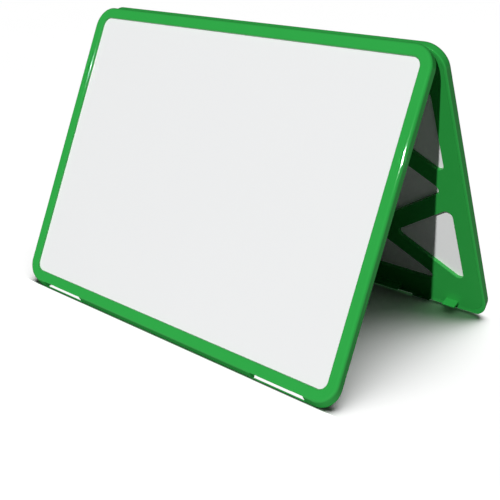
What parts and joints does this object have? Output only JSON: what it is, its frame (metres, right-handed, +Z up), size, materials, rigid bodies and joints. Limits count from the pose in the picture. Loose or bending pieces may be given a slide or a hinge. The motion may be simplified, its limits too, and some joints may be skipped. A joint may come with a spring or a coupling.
{
  "type": "desktop whiteboard",
  "caption": "Double-sided desktop whiteboard: hinged boards in rounded plastic bezels stand open as an A-frame and fold flat, with a lattice back and catches.",
  "frame": {"origin": "middle of the footprint on the desk", "axes": "+X along the width, front board faces -Y, +Z up"},
  "size_m": [0.3556, 0.2188, 0.2397],
  "materials": {
    "green_plastic": "satin moulded green",
    "white_enamel": "smooth white dry-erase enamel on steel",
    "white_board": "plain matte white sheet",
    "pin_steel": "drawn wire"
  },
  "bodies": {
    "front_board": {"front_bezel": "green_plastic", "front_writing_sheet": "white_enamel", "front_backing_board": "white_board", "front_back_frame": "green_plastic", "hinge_pin_left": "pin_steel", "hinge_pin_middle": "pin_steel", "hinge_pin_right": "pin_steel"},
    "rear_board": {"rear_bezel": "green_plastic", "rear_writing_sheet": "white_enamel", "rear_backing_board": "white_board", "rear_back_frame": "green_plastic"}
  },
  "joints": [
    {"name": "hinge", "type": "hinge", "parent": "front_board", "child": "rear_board", "pos_m": [0, 0, 0.23576], "axis": [1, 0, 0], "range_deg": [-47.6, 0]}
  ]
}
